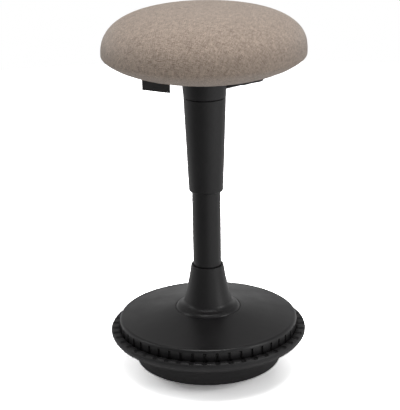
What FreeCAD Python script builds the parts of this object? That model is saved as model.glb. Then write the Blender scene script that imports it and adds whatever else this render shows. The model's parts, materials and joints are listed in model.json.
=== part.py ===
import FreeCAD
import Part
import math
import os

# Height-adjustable wobble stool, in millimetres.
# The origin is on the floor under the middle of the base, +Z is up and -Y is the front.
# The lever points along +X. The stool is drawn 10 mm below its highest setting.

Vector = FreeCAD.Vector
UP = Vector(0, 0, 1)
ORIGIN = Vector(0, 0, 0)

# Rocking base
CONTACT_R = 50.0            # flat middle that the stool stands on
ROCKER_R = 400.0            # radius of the rounded underside
SOLE_R = 118.0
SOLE_THICK = 5.0
FOOT_R = 129.0              # where the rounded underside turns up into the bowl's wall
BOWL_WALL = 4.0
BOWL_FLANGE_R = 163.0
BOWL_FLANGE_Z = 62.0
RING_INNER_R = 159.2
RING_TIP_R = 175.0
RING_CREST_Z = 79.5
GROOVES = 48
GROOVE_PHASE = -2.5         # degrees from +X to the first groove and the first slot
GROOVE_WIDTH = 8.6
GROOVE_FLOOR_Z = 76.1
GROOVE_RUNOUT_Z = 78.4      # height of the groove's floor where it comes out past the tip

# Domed base cover
COVER_EDGE_R = 159.4
COVER_EDGE_Z = 92.5
COVER_WALL = 3.0
SKIRT_FOOT_R = 158.4
SLOT_TOP_Z = 91.5
SLOT_WIDTH = 4.0
SLOT_FOOT_WIDTH = 8.0
COVER_HOLE_R = 58.0         # hole in the dome's middle, where the neck cover stands on a shelf
SHELF_R = 51.0
SHELF_Z = 109.6
SHELF_THICK = 2.6

# Neck cover around the foot of the stand tube
NECK_RIM_R = 29.0
NECK_RIM_Z = 195.0
NECK_WALL = 2.6
NECK_FOOT_R = 57.8
NECK_FOOT_WALL = 3.2

# Weight and steel inside the base
BALLAST_INNER_R = 38.0
BALLAST_R = 92.0
PLATE_Z = 46.0
PLATE_THICK = 4.0
BASE_PLATE_R = 130.0
BOSS_RING_R = 115.0
BOSSES = 6
BALLAST_BOLT_RING_R = 75.0
BALLAST_BOLTS = 4
SOCKET_R = 29.5
SOCKET_TOP = 112.0

# Stand tube of the gas lift, and what it carries
TUBE_R = 25.0
TUBE_WALL = 2.0
TUBE_FOOT_Z = 30.0
TUBE_TOP_Z = 352.0
BUSH_LENGTH = 70.0
RUNNING_GAP = 0.06
END_PLATE_Z = 35.2
END_PLATE_THICK = 5.0
ROD_R = 5.0
ROD_FOOT_R = 4.4
ROD_FOOT_Z = 30.0
PISTON_Z = 223.0
PISTON_HEIGHT = 16.0

# Thrust bearing at the foot of the rod
RACE_R = 13.5
RACE_THICK = 2.0
BALL_R = 2.4
BALL_RING_R = 10.0
BALLS = 8
BEARING_GAP = 0.05
LOWER_RACE_Z = END_PLATE_Z + END_PLATE_THICK
BALL_Z = LOWER_RACE_Z + RACE_THICK + BEARING_GAP + BALL_R
UPPER_RACE_Z = BALL_Z + BALL_R + BEARING_GAP
SHOULDER_Z = UPPER_RACE_Z + RACE_THICK
CLIP_TOP_Z = END_PLATE_Z - 0.4

# Gas cylinder and its release
CYLINDER_R = 14.0
CYLINDER_WALL = 1.5
CYLINDER_FOOT_Z = 190.0
TAPER_FOOT_Z = 476.0
TAPER_TOP_R = 13.4
CYLINDER_TOP_Z = 506.0
TAPER_BORE_R = TAPER_TOP_R - 1.2
ROLLED_EDGE_R = 8.0         # the cylinder's top edge is rolled in over the valve
VALVE_TOP_Z = CYLINDER_TOP_Z - 2.5
PIN_R = 4.0
PIN_FOOT_Z = 484.0
PIN_TOP_Z = 512.2
PIN_DOME_R = 8.0

# Sleeve and cap that hide the gas lift
SLEEVE_FOOT_Z = 333.0
SLEEVE_FOOT_R = 30.1
SLEEVE_TOP_Z = 500.4
SLEEVE_TOP_R = 36.6
SLEEVE_WALL = 2.6
SLEEVE_WEB_Z = 488.0
CAP_FOOT_Z = 501.2
CAP_TOP_Z = 540.4
CAP_TOP_R = 39.7
CAP_WALL = 2.4

# Seat hub and lever
HUB_R = 19.0
PIVOT_X = 30.0
PIVOT_Z = 515.0
PIVOT_R = 2.0
TONGUE_WIDTH = 9.0
TONGUE_THICK = 5.0
TONGUE_GAP = 0.8
EAR_THICK = 3.0
EAR_R = 4.0
LEVER_TIP = Vector(97.5, 0, 530.0)
LEVER_ROOT = Vector(33.0, 0, 516.05)
LEVER_ROD_R = 3.5
GRIP_LENGTH = 34.0
GRIP_SECTIONS = ((0, 4.6, 4.3), (6, 6.0, 4.4), (24, 8.0, 4.4), (34, 7.6, 4.2), (37, 6.0, 3.0))

# Seat
SEAT_R = 174.6
SEAT_WAIST_Z = 577.0        # height of the widest line
CROWN_RISE = 78.5
CROWN_POWER = 2.63
BELLY_DROP = 47.07
BELLY_POWER = 1.67
FABRIC_THICK = 1.5
TUCK_Z = 544.0              # underside of the fabric that is folded under the board
TUCK_INNER_R = 85.0
BOARD_R = 107.5
BOARD_Z = TUCK_Z + FABRIC_THICK
BOARD_THICK = 12.0
SEAT_PLATE_SIDE = 120.0
SEAT_PLATE_THICK = 4.0
SEAT_PLATE_Z = BOARD_Z - 0.6 - SEAT_PLATE_THICK
SEAT_BOLT_PITCH = 90.0
STAPLES = 24
LABEL_WIDTH = 52.5
LABEL_THICK = 1.2
LABEL_FOOT_Z = 531.5
LABEL_SEAM = 0.7            # how deep its upper edge is sewn into the fabric
LABEL_R = 118.5
LABEL_TURN = -132.0         # degrees from +X, towards the front left
LABEL_FACING = -118.0       # where its face looks, a little more to the front than the seam


def at(radius, height):
    return Vector(radius, 0, height)


def outline(start, *steps):
    """Closed wire in the XZ plane. A step is the end of a line, or the middle and end of an arc."""
    edges = []
    here = at(*start)
    for step in steps + (start,):
        if isinstance(step[0], tuple):
            middle, end = at(*step[0]), at(*step[1])
            edges.append(Part.Arc(here, middle, end).toShape())
        else:
            end = at(*step)
            if here.distanceToPoint(end) < 1e-6:
                continue
            edges.append(Part.LineSegment(here, end).toShape())
        here = end
    return Part.Wire(edges)


def turned(start, *steps):
    """Solid turned about the Z axis from an outline of (radius, height) points."""
    return Part.Face(outline(start, *steps)).revolve(ORIGIN, UP, 360)


def ring(inner, outer, foot, top):
    if inner == 0:
        return Part.makeCylinder(outer, top - foot, at(0, foot))
    return turned((inner, foot), (outer, foot), (outer, top), (inner, top))


def around(shape, count, start=0.0):
    """Copies of a shape, evenly spaced about the Z axis."""
    copies = []
    for index in range(count):
        copy = shape.copy()
        copy.rotate(ORIGIN, UP, start + 360.0 * index / count)
        copies.append(copy)
    return copies


def group(shapes):
    return Part.makeCompound(shapes)


def block(width, depth, foot, top, x=0.0, y=0.0):
    """Upright box, centred on (x, y)."""
    return Part.makeBox(width, depth, top - foot, Vector(x - width / 2, y - depth / 2, foot))


def bolt(radius, head_radius, head_height, foot, head_foot, x, y=0.0):
    """Bolt whose round head with a hex socket stands on head_foot; foot is the shank's far end."""
    sign = 1 if head_foot > foot else -1
    low = min(head_foot, head_foot + sign * head_height)
    head = Part.makeCylinder(head_radius, head_height, Vector(x, y, low))
    shank = Part.makeCylinder(radius, abs(head_foot - foot), Vector(x, y, min(foot, head_foot)))
    socket_depth = head_height * 0.6
    socket_foot = low + head_height - socket_depth if sign > 0 else low
    corners = [Vector(x + radius * 0.9 * math.cos(math.radians(60 * k)),
                      y + radius * 0.9 * math.sin(math.radians(60 * k)), socket_foot) for k in range(7)]
    socket = Part.Face(Part.makePolygon(corners)).extrude(UP * socket_depth)
    return head.fuse(shank).cut(socket)


def rocker_height(radius, inset=0.0):
    """Height of the rounded underside, or of a surface that lies inset above it."""
    centre = math.sqrt(ROCKER_R ** 2 - CONTACT_R ** 2)
    return centre - math.sqrt((ROCKER_R - inset) ** 2 - radius ** 2)


def rocker_arc(start, end, inset):
    """Middle and end of the arc that follows the rounded underside."""
    middle = (start + end) / 2
    return (middle, rocker_height(middle, inset)), (end, rocker_height(end, inset))


def make_rocker_sole():
    top = rocker_height(CONTACT_R, SOLE_THICK)
    return turned((0, 0), (CONTACT_R, 0), rocker_arc(CONTACT_R, SOLE_R, 0),
                  (SOLE_R, rocker_height(SOLE_R, SOLE_THICK)),
                  rocker_arc(SOLE_R, CONTACT_R, SOLE_THICK), (0, top))


def bowl_floor(radius):
    return rocker_height(radius, SOLE_THICK + BOWL_WALL)


def make_rocker_bowl():
    inset = SOLE_THICK + BOWL_WALL
    groove_r = SOLE_R + 0.4
    edge = rocker_height(groove_r)
    flat_z = rocker_height(CONTACT_R, SOLE_THICK)
    shell = turned((0, flat_z), (CONTACT_R, flat_z),
                   rocker_arc(CONTACT_R, groove_r, SOLE_THICK), (groove_r, edge),
                   (FOOT_R - 2, rocker_height(FOOT_R - 2)),
                   ((FOOT_R - 0.2, rocker_height(FOOT_R) + 0.3), (FOOT_R + 0.9, 21.0)),
                   ((132.6, 31.0), (136.0, 40.0)),
                   ((143.0, 49.5), (BOWL_FLANGE_R, BOWL_FLANGE_Z - 2)),
                   (BOWL_FLANGE_R, BOWL_FLANGE_Z), (148.0, BOWL_FLANGE_Z),
                   ((139.0, 52.5), (132.0, 41.5)),
                   ((128.6, 32.5), (124.5, bowl_floor(124.5))),
                   rocker_arc(124.5, CONTACT_R, inset), (0, rocker_height(CONTACT_R, inset)))
    boss = Part.makeCylinder(5.5, PLATE_Z - bowl_floor(BOSS_RING_R - 6) + 1,
                             Vector(BOSS_RING_R, 0, bowl_floor(BOSS_RING_R - 6) - 1))
    pilot = Part.makeCylinder(2.5, 14.0, Vector(BOSS_RING_R, 0, PLATE_Z - 14.0))
    bosses = group(around(boss, BOSSES, 30))
    pilots = group(around(pilot, BOSSES, 30))
    return shell.fuse(bosses.Solids).cut(pilots)


def make_bumper_ring():
    """Rubber ring with a rolled edge, its top cut by radial grooves that run out at the tip."""
    body = turned((RING_INNER_R, BOWL_FLANGE_Z), (167.0, BOWL_FLANGE_Z),
                  ((169.3, 62.9), (171.3, 65.4)), ((174.6, 70.5), (RING_TIP_R, 75.4)),
                  ((173.2, 78.8), (168.5, RING_CREST_Z)), ((163.0, 78.8), (RING_INNER_R, 77.0)))
    inner, outer = RING_INNER_R - 2, RING_TIP_R + 5
    above = RING_CREST_Z + 5
    section = outline((inner, GROOVE_FLOOR_Z), (outer, GROOVE_RUNOUT_Z), (outer, above), (inner, above))
    groove = Part.Face(section).extrude(Vector(0, GROOVE_WIDTH, 0))
    groove.translate(Vector(0, -GROOVE_WIDTH / 2, 0))
    return body.cut(group(around(groove, GROOVES, GROOVE_PHASE)))


def skirt_slot():
    """Slot between two snap fingers of the skirt, wider at its foot; it cuts through the wall at +X."""
    narrow, wide = SLOT_WIDTH / 2, SLOT_FOOT_WIDTH / 2
    foot, flare_foot, flare_top = BOWL_FLANGE_Z - 1, 77.0, 81.0
    side = [(wide, foot), (wide, flare_foot), (narrow, flare_top), (narrow, SLOT_TOP_Z)]
    corners = [Vector(0, y, z) for y, z in side] + [Vector(0, -y, z) for y, z in reversed(side)]
    slot = Part.Face(Part.makePolygon(corners + corners[:1])).extrude(Vector(2 * COVER_WALL, 0, 0))
    slot.translate(Vector(COVER_EDGE_R - 1.5 * COVER_WALL, 0, 0))
    return slot


def make_base_cover():
    """Low dome with a shelf round its hole, and a slotted skirt that snaps over the bowl's flange."""
    wall = COVER_WALL
    shelf_foot = SHELF_Z - SHELF_THICK
    shell = turned((SHELF_R, SHELF_Z), (COVER_HOLE_R, SHELF_Z), (COVER_HOLE_R, 113.4),
                   ((58.5, 113.95), (59.4, 114.15)), ((104.0, 106.4), (153.6, 98.6)),
                   ((157.8, 96.8), (COVER_EDGE_R, COVER_EDGE_Z)), (SKIRT_FOOT_R, BOWL_FLANGE_Z),
                   (SKIRT_FOOT_R - wall, BOWL_FLANGE_Z), (COVER_EDGE_R - wall, COVER_EDGE_Z - 0.8),
                   ((155.2, 94.6), (152.8, 95.7)), ((104.0, 103.4), (64.0, 110.4)),
                   (61.3, shelf_foot), (SHELF_R, shelf_foot))
    return shell.cut(group(around(skirt_slot(), GROOVES, GROOVE_PHASE)))


def make_neck_cover():
    """Tapered neck with a flared foot and a soft shoulder, standing on the base cover's shelf."""
    rim = NECK_RIM_R - NECK_WALL
    return turned((rim, NECK_RIM_Z), (NECK_RIM_R - 1.0, NECK_RIM_Z),
                  ((NECK_RIM_R - 0.2, NECK_RIM_Z - 0.3), (NECK_RIM_R + 0.1, NECK_RIM_Z - 1.2)),
                  ((35.4, 158.0), (42.4, 130.0)), ((44.9, 123.9), (50.5, 119.9)),
                  ((55.0, 117.4), (NECK_FOOT_R, 113.6)), (NECK_FOOT_R, SHELF_Z),
                  (NECK_FOOT_R - NECK_FOOT_WALL, SHELF_Z), (NECK_FOOT_R - NECK_FOOT_WALL, 113.2),
                  ((52.6, 115.2), (49.0, 117.4)), ((42.6, 122.0), (39.8, 128.8)),
                  ((32.8, 158.0), (rim, NECK_RIM_Z - 6)))


def make_neck_gasket():
    return ring(TUBE_R + 0.1, NECK_RIM_R - NECK_WALL, NECK_RIM_Z - 6, NECK_RIM_Z - 1.4)


def make_ballast_weight():
    """Cast ring that fills the bowl; its underside follows the bowl's floor."""
    inset = SOLE_THICK + BOWL_WALL
    body = turned((BALLAST_INNER_R, bowl_floor(CONTACT_R)), (CONTACT_R, bowl_floor(CONTACT_R)),
                  rocker_arc(CONTACT_R, BALLAST_R, inset), (BALLAST_R, PLATE_Z), (BALLAST_INNER_R, PLATE_Z))
    hole = Part.makeCylinder(4.05, 20.0, Vector(BALLAST_BOLT_RING_R, 0, PLATE_Z - 19.0))
    return body.cut(group(around(hole, BALLAST_BOLTS, 45)))


def make_base_plate():
    top = PLATE_Z + PLATE_THICK
    body = ring(SOCKET_R + 0.05, BASE_PLATE_R, PLATE_Z, top)
    screw_hole = Part.makeCylinder(2.7, PLATE_THICK + 2, Vector(BOSS_RING_R, 0, PLATE_Z - 1))
    bolt_hole = Part.makeCylinder(4.3, PLATE_THICK + 2, Vector(BALLAST_BOLT_RING_R, 0, PLATE_Z - 1))
    return body.cut(group(around(screw_hole, BOSSES, 30) + around(bolt_hole, BALLAST_BOLTS, 45)))


def make_tube_socket():
    """Welded collar that grips the stand tube, with a foot flange on the base plate."""
    top = PLATE_Z + PLATE_THICK
    return turned((TUBE_R, 36.0), (SOCKET_R, 36.0), (SOCKET_R, top), (44.0, top), (44.0, top + 4),
                  ((34.0, top + 7.5), (SOCKET_R, top + 16)), (SOCKET_R, SOCKET_TOP - 2),
                  (SOCKET_R - 2, SOCKET_TOP), (TUBE_R, SOCKET_TOP))


def make_base_screws():
    screw = bolt(2.5, 4.6, 3.0, PLATE_Z - 12.0, PLATE_Z + PLATE_THICK, BOSS_RING_R)
    return group(around(screw, BOSSES, 30))


def make_ballast_bolts():
    screw = bolt(4.0, 6.5, 5.0, PLATE_Z - 18.0, PLATE_Z + PLATE_THICK, BALLAST_BOLT_RING_R)
    return group(around(screw, BALLAST_BOLTS, 45))


def make_stand_tube():
    inner = TUBE_R - TUBE_WALL
    return turned((inner, TUBE_FOOT_Z), (TUBE_R - 0.8, TUBE_FOOT_Z), (TUBE_R, TUBE_FOOT_Z + 0.8),
                  (TUBE_R, TUBE_TOP_Z - 0.8), (TUBE_R - 0.8, TUBE_TOP_Z), (inner, TUBE_TOP_Z))


def make_guide_bush():
    bore = CYLINDER_R + RUNNING_GAP
    inner = TUBE_R - TUBE_WALL
    foot = TUBE_TOP_Z - BUSH_LENGTH
    return turned((bore, foot), (inner, foot), (inner, TUBE_TOP_Z), (TUBE_R - 0.6, TUBE_TOP_Z),
                  (TUBE_R - 1.4, TUBE_TOP_Z + 1.6), (bore + 1, TUBE_TOP_Z + 1.6), (bore, TUBE_TOP_Z + 0.6))


def make_tube_end_plate():
    return ring(ROD_FOOT_R + 1.0, TUBE_R - TUBE_WALL, END_PLATE_Z, END_PLATE_Z + END_PLATE_THICK)


def make_bearing_lower_race():
    return ring(ROD_FOOT_R + 1.0, RACE_R, LOWER_RACE_Z, LOWER_RACE_Z + RACE_THICK)


def make_bearing_upper_race():
    return ring(ROD_FOOT_R + 0.02, RACE_R, UPPER_RACE_Z, SHOULDER_Z)


def make_bearing_balls():
    ball = Part.makeSphere(BALL_R, at(BALL_RING_R, BALL_Z))
    return group(around(ball, BALLS))


def make_ball_cage():
    body = ring(BALL_RING_R - 2.7, BALL_RING_R + 2.7, BALL_Z - 1.0, BALL_Z + 1.0)
    pocket = Part.makeCylinder(BALL_R + 0.1, 4.0, at(BALL_RING_R, BALL_Z - 2.0))
    return body.cut(group(around(pocket, BALLS)))


def make_piston_rod():
    """Hard chromed rod; the narrow foot goes through the bearing and carries the clip's groove."""
    groove_r = ROD_FOOT_R - 0.9
    groove_foot = CLIP_TOP_Z - 1.6
    return turned((0, ROD_FOOT_Z), (ROD_FOOT_R - 0.6, ROD_FOOT_Z), (ROD_FOOT_R, ROD_FOOT_Z + 0.6),
                  (ROD_FOOT_R, groove_foot), (groove_r, groove_foot), (groove_r, CLIP_TOP_Z),
                  (ROD_FOOT_R, CLIP_TOP_Z), (ROD_FOOT_R, SHOULDER_Z), (ROD_R, SHOULDER_Z),
                  (ROD_R, PISTON_Z), (ROD_R - 1, PISTON_Z), (ROD_R - 1, PISTON_Z + PISTON_HEIGHT + 2),
                  (0, PISTON_Z + PISTON_HEIGHT + 2))


def make_retaining_clip():
    """Open ring that snaps into the rod's groove under the end plate."""
    body = ring(ROD_FOOT_R - 0.9, 8.5, CLIP_TOP_Z - 1.5, CLIP_TOP_Z - 0.1)
    return body.cut(block(10.0, 5.0, CLIP_TOP_Z - 3, CLIP_TOP_Z + 2, x=6.5))


def make_bump_stop():
    foot = SHOULDER_Z + 0.1
    return turned((ROD_R + 0.05, foot), (11.5, foot), ((12.3, foot + 3.5), (11.0, foot + 7)),
                  ((11.8, foot + 10), (10.0, foot + 13.5)), (ROD_R + 0.05, foot + 13.5))


def make_piston():
    bore = ROD_R - 1
    outer = CYLINDER_R - CYLINDER_WALL - 0.3
    seat = PISTON_Z + PISTON_HEIGHT / 2
    return turned((bore, PISTON_Z), (outer, PISTON_Z), (outer, seat - 2), (outer - 1.6, seat - 2),
                  (outer - 1.6, seat + 2), (outer, seat + 2), (outer, PISTON_Z + PISTON_HEIGHT),
                  (bore, PISTON_Z + PISTON_HEIGHT))


def make_piston_ring():
    bore = CYLINDER_R - CYLINDER_WALL
    seat = PISTON_Z + PISTON_HEIGHT / 2
    return ring(bore - 1.9, bore - RUNNING_GAP, seat - 1.9, seat + 1.9)


def make_gas_cylinder():
    """Pressure cylinder; its upper end tapers into the seat hub and is rolled over the valve."""
    bore = CYLINDER_R - CYLINDER_WALL
    return turned((bore, CYLINDER_FOOT_Z), (CYLINDER_R - 0.6, CYLINDER_FOOT_Z),
                  (CYLINDER_R, CYLINDER_FOOT_Z + 0.6), (CYLINDER_R, TAPER_FOOT_Z),
                  (TAPER_TOP_R, CYLINDER_TOP_Z - 0.8), (TAPER_TOP_R - 0.8, CYLINDER_TOP_Z),
                  (ROLLED_EDGE_R, CYLINDER_TOP_Z), (ROLLED_EDGE_R, VALVE_TOP_Z), (TAPER_BORE_R, VALVE_TOP_Z),
                  (TAPER_BORE_R, CYLINDER_TOP_Z - 6), (bore, CYLINDER_TOP_Z - 8))


def make_rod_guide():
    bore = CYLINDER_R - CYLINDER_WALL
    return ring(ROD_R + RUNNING_GAP, bore, CYLINDER_FOOT_Z + 1.5, CYLINDER_FOOT_Z + 22)


def make_valve_body():
    bore = CYLINDER_R - CYLINDER_WALL
    pin_bore = PIN_R + RUNNING_GAP
    foot = PIN_FOOT_Z - 16
    return turned((0, foot), (bore - 1, foot), (bore, foot + 1), (bore, CYLINDER_TOP_Z - 8),
                  (TAPER_BORE_R, CYLINDER_TOP_Z - 6), (TAPER_BORE_R, VALVE_TOP_Z),
                  (pin_bore, VALVE_TOP_Z), (pin_bore, PIN_FOOT_Z - 4), (0, PIN_FOOT_Z - 4))


def make_valve_pin():
    """Release pin with a domed top, under the lever's tongue."""
    rim = PIN_TOP_Z - (PIN_DOME_R - math.sqrt(PIN_DOME_R ** 2 - PIN_R ** 2))
    half = PIN_R / 2
    dome = PIN_TOP_Z - (PIN_DOME_R - math.sqrt(PIN_DOME_R ** 2 - half ** 2))
    return turned((0, PIN_FOOT_Z), (PIN_R - 0.5, PIN_FOOT_Z), (PIN_R, PIN_FOOT_Z + 0.5), (PIN_R, rim),
                  ((half, dome), (0, PIN_TOP_Z)))


def make_height_sleeve():
    """Tapered sleeve that hangs from the hub's shoulder and slides down over the stand tube."""
    wall = SLEEVE_WALL
    web_top = SLEEVE_WEB_Z + 3
    slope = (SLEEVE_TOP_R - SLEEVE_FOOT_R) / (SLEEVE_TOP_Z - SLEEVE_FOOT_Z)
    web_r = SLEEVE_FOOT_R + slope * (SLEEVE_WEB_Z - SLEEVE_FOOT_Z) - wall
    return turned((SLEEVE_FOOT_R - wall, SLEEVE_FOOT_Z), (SLEEVE_FOOT_R - 0.9, SLEEVE_FOOT_Z),
                  (SLEEVE_FOOT_R, SLEEVE_FOOT_Z + 1.6), (SLEEVE_TOP_R, SLEEVE_TOP_Z - 1.4),
                  (SLEEVE_TOP_R - 1.1, SLEEVE_TOP_Z), (SLEEVE_TOP_R - wall, SLEEVE_TOP_Z),
                  (SLEEVE_TOP_R - wall - 0.2, web_top), (HUB_R + 0.05, web_top), (HUB_R + 0.05, SLEEVE_WEB_Z),
                  (web_r, SLEEVE_WEB_Z))


def make_sleeve_cap():
    """Collar over the lever's pivot, plugged into the sleeve, with a slot for the lever."""
    wall = CAP_WALL
    plug_r = SLEEVE_TOP_R - SLEEVE_WALL - 0.3
    body = turned((plug_r - 2.2, SLEEVE_WEB_Z + 3), (plug_r, SLEEVE_WEB_Z + 3), (plug_r, CAP_FOOT_Z),
                  (SLEEVE_TOP_R, CAP_FOOT_Z), ((38.6, 524.0), (CAP_TOP_R, CAP_TOP_Z)),
                  (CAP_TOP_R - wall, CAP_TOP_Z),
                  ((38.6 - wall, 524.0), (SLEEVE_TOP_R - wall, CAP_FOOT_Z + 3)),
                  (plug_r - 2.2, CAP_FOOT_Z + 3))
    slot = block(14.0, 14.0, 508.0, 527.0, x=38.0)
    return body.cut(slot)


def make_seat_hub():
    """Taper socket with a window for the lever's tongue and two ears for its pivot."""
    lip = HUB_R + 6
    window_foot, window_top = 508.0, 526.0
    hub = turned((CYLINDER_R, TAPER_FOOT_Z), (HUB_R, TAPER_FOOT_Z), (HUB_R, SLEEVE_WEB_Z - 4),
                 (lip, SLEEVE_WEB_Z - 4), (lip, SLEEVE_WEB_Z), (HUB_R, SLEEVE_WEB_Z),
                 (HUB_R, SEAT_PLATE_Z), (CYLINDER_R + 0.5, SEAT_PLATE_Z), (CYLINDER_R + 0.5, CYLINDER_TOP_Z),
                 (TAPER_TOP_R, CYLINDER_TOP_Z), (TAPER_TOP_R, CYLINDER_TOP_Z - 0.8))
    ear_y = TONGUE_WIDTH / 2 + TONGUE_GAP
    for low_y in (-ear_y - EAR_THICK, ear_y):
        arm = Part.makeBox(PIVOT_X - 14.5, EAR_THICK, 2 * EAR_R, Vector(14.5, low_y, PIVOT_Z - EAR_R))
        nose = Part.makeCylinder(EAR_R, EAR_THICK, Vector(PIVOT_X, low_y, PIVOT_Z), Vector(0, 1, 0))
        hub = hub.fuse([arm, nose])
    window = block(30.0, 2 * ear_y, window_foot, window_top, x=15.0)
    bore = Part.makeCylinder(CYLINDER_R + 0.5, window_top - CYLINDER_TOP_Z, at(0, CYLINDER_TOP_Z))
    pin_hole = Part.makeCylinder(PIVOT_R, 40.0, Vector(PIVOT_X, -20, PIVOT_Z), Vector(0, 1, 0))
    return hub.cut(window).cut(bore).cut(pin_hole)


def make_pivot_pin():
    half = TONGUE_WIDTH / 2 + TONGUE_GAP + EAR_THICK
    pin = Part.makeCylinder(PIVOT_R, 2 * half, Vector(PIVOT_X, -half, PIVOT_Z), Vector(0, 1, 0))
    head = Part.makeCylinder(PIVOT_R + 1.2, 1.2, Vector(PIVOT_X, half, PIVOT_Z), Vector(0, 1, 0))
    return pin.fuse(head)


def rod_between(start, end, radius):
    return Part.makeCylinder(radius, start.distanceToPoint(end), start, end - start)


def make_release_lever():
    """Steel lever: a flat tongue over the valve pin and a round rod that rises to the grip."""
    foot = PIVOT_Z - TONGUE_THICK / 2
    tongue = Part.makeBox(41.0, TONGUE_WIDTH, TONGUE_THICK, Vector(-5, -TONGUE_WIDTH / 2, foot))
    rod = rod_between(LEVER_ROOT, LEVER_TIP, LEVER_ROD_R)
    hole = Part.makeCylinder(PIVOT_R + RUNNING_GAP, 20.0, Vector(PIVOT_X, -10, PIVOT_Z), Vector(0, 1, 0))
    return tongue.fuse(rod).cut(hole).removeSplitter()


def make_lever_grip():
    """Flat oval grip pushed over the end of the rod."""
    along = (LEVER_TIP - LEVER_ROOT).normalize()
    across = Vector(0, 1, 0)
    turn = FreeCAD.Rotation(across, across.cross(along), along)
    start = LEVER_TIP - along * GRIP_LENGTH
    sections = []
    for distance, width, height in GRIP_SECTIONS:
        oval = Part.Ellipse(ORIGIN, width, height).toShape()
        oval.Placement = FreeCAD.Placement(start + along * distance, turn)
        sections.append(Part.Wire([oval]))
    body = Part.makeLoft(sections, True)
    return body.cut(rod_between(LEVER_ROOT, LEVER_TIP, LEVER_ROD_R))


def crown_curve(inset):
    """Upper seat line, a superellipse from the widest point up to the pole."""
    points = []
    for step in range(13):
        angle = math.pi / 2 * step / 12
        radius = (SEAT_R - inset) * math.cos(angle) ** (2 / CROWN_POWER)
        height = SEAT_WAIST_Z + (CROWN_RISE - inset) * math.sin(angle) ** (2 / CROWN_POWER)
        points.append(at(0 if step == 12 else radius, height))
    curve = Part.BSplineCurve()
    curve.interpolate(Points=points, InitialTangent=UP, FinalTangent=Vector(-1, 0, 0))
    return curve.toShape()


def belly_curve(inset, floor):
    """Lower seat line, a softer superellipse from the widest point down to the height floor."""
    drop = BELLY_DROP - inset
    last = math.asin(((SEAT_WAIST_Z - floor) / drop) ** (BELLY_POWER / 2))
    points = []
    for step in range(9):
        angle = last * step / 8
        radius = (SEAT_R - inset) * math.cos(angle) ** (2 / BELLY_POWER)
        height = SEAT_WAIST_Z - drop * math.sin(angle) ** (2 / BELLY_POWER)
        points.append(at(radius, height))
    curve = Part.BSplineCurve()
    curve.interpolate(points)
    return curve.toShape(), points[-1]


def seat_form(inset, floor):
    """Crowned round cushion with drawn-in lower sides, cut flat at the height floor."""
    belly, corner = belly_curve(inset, floor)
    crown = crown_curve(inset)
    pole = at(0, SEAT_WAIST_Z + CROWN_RISE - inset)
    axis = Part.LineSegment(pole, at(0, floor)).toShape()
    base = Part.LineSegment(at(0, floor), corner).toShape()
    return Part.Face(Part.Wire([belly, crown, axis, base])).revolve(ORIGIN, UP, 360)


def make_seat_cover():
    """Fabric over the cushion, folded under the board."""
    opening = Part.makeCylinder(TUCK_INNER_R, FABRIC_THICK + 2, at(0, TUCK_Z - 1))
    return seat_form(0, TUCK_Z).cut(seat_form(FABRIC_THICK, BOARD_Z)).cut(opening)


def make_seat_foam():
    return seat_form(FABRIC_THICK, BOARD_Z).cut(ring(0, BOARD_R, BOARD_Z - 1, BOARD_Z + BOARD_THICK))


def bolt_places():
    half = SEAT_BOLT_PITCH / 2
    return [(x, y) for x in (-half, half) for y in (-half, half)]


def make_seat_board():
    top = BOARD_Z + BOARD_THICK
    body = turned((0, BOARD_Z), (BOARD_R, BOARD_Z), (BOARD_R, top - 1.5), (BOARD_R - 1.5, top), (0, top))
    for x, y in bolt_places():
        barrel = Part.makeCylinder(4.2, BOARD_THICK + 2, Vector(x, y, BOARD_Z - 1))
        recess = Part.makeCylinder(11.0, 2.0, Vector(x, y, top - 1.5))
        body = body.cut(barrel).cut(recess)
    return body


def make_t_nuts():
    top = BOARD_Z + BOARD_THICK
    nuts = []
    for x, y in bolt_places():
        barrel = Part.makeCylinder(4.2, 9.0, Vector(x, y, top - 9.5))
        flange = Part.makeCylinder(10.8, 1.4, Vector(x, y, top - 1.5))
        hole = Part.makeCylinder(3.03, 20.0, Vector(x, y, top - 12))
        nuts.append(barrel.fuse(flange).cut(hole))
    return group(nuts)


def make_seat_bolts():
    tip_z = BOARD_Z + BOARD_THICK - 2
    return group([bolt(3.0, 5.4, 3.6, tip_z, SEAT_PLATE_Z, x, y) for x, y in bolt_places()])


def make_seat_plate():
    """Pressed steel plate between hub and board, with rounded corners."""
    body = block(SEAT_PLATE_SIDE, SEAT_PLATE_SIDE, SEAT_PLATE_Z, SEAT_PLATE_Z + SEAT_PLATE_THICK)
    body = body.makeFillet(12.0, [edge for edge in body.Edges if abs(edge.tangentAt(0).z) > 0.9])
    for x, y in bolt_places():
        body = body.cut(Part.makeCylinder(3.3, SEAT_PLATE_THICK + 2, Vector(x, y, SEAT_PLATE_Z - 1)))
    return body


def make_dust_cover():
    """Thin black cloth: flat under the board, stepping down over the folded fabric and its staples."""
    thick = 0.6
    low = TUCK_Z - 1.2
    body = turned((0, BOARD_Z - thick), (TUCK_INNER_R - 4, BOARD_Z - thick), (TUCK_INNER_R - 0.5, low),
                  (101.0, low), (101.0, low + thick), (TUCK_INNER_R - 0.3, low + thick),
                  (TUCK_INNER_R - 3.8, BOARD_Z), (0, BOARD_Z))
    for x, y in bolt_places():
        body = body.cut(Part.makeCylinder(3.3, 4.0, Vector(x, y, BOARD_Z - 2)))
    return body


def make_cover_staples():
    """Staples through the folded fabric into the board, crowns along the edge."""
    crown = Part.makeBox(0.6, 10.0, 0.6, Vector(95.7, -5.0, TUCK_Z - 0.6))
    legs = [Part.makeBox(0.6, 0.6, 8.0, Vector(95.7, y, TUCK_Z - 0.6)) for y in (-5.0, 4.4)]
    return group(around(crown.fuse(legs).removeSplitter(), STAPLES, 7.5))


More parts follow.
